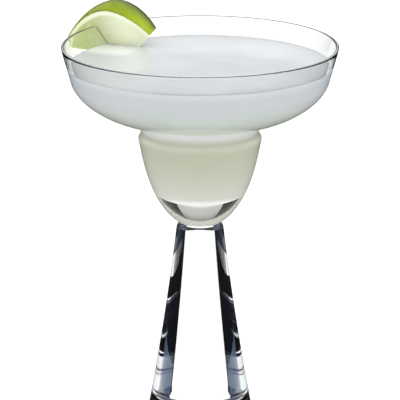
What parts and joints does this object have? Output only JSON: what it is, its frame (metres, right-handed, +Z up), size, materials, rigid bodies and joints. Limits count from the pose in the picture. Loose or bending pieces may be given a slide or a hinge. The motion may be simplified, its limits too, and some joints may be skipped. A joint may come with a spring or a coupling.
{
  "type": "grappa margarita",
  "caption": "Cloudy pale margarita in a stemmed glass with a wide upper bowl, a narrow lower bowl and a solid flaring stem, with a lime wedge over the rim.",
  "frame": {"origin": "centre of the flat underside of the foot, on the surface the glass stands on", "axes": "+Z up along the glass's axis, +X to the right and -Y towards the viewer of the picture; the lime wedge is at the back left"},
  "size_m": [0.1149, 0.1146, 0.1824],
  "materials": {
    "glass": "clear polished colourless glass",
    "drink": "cloudy pale grey-green liquid with a still, glossy surface",
    "lime": "lime: glossy green rind, white pith and wet pale green flesh"
  },
  "bodies": {
    "root": {"glass": "glass", "drink": "drink", "lime_wedge": "lime"}
  },
  "joints": []
}
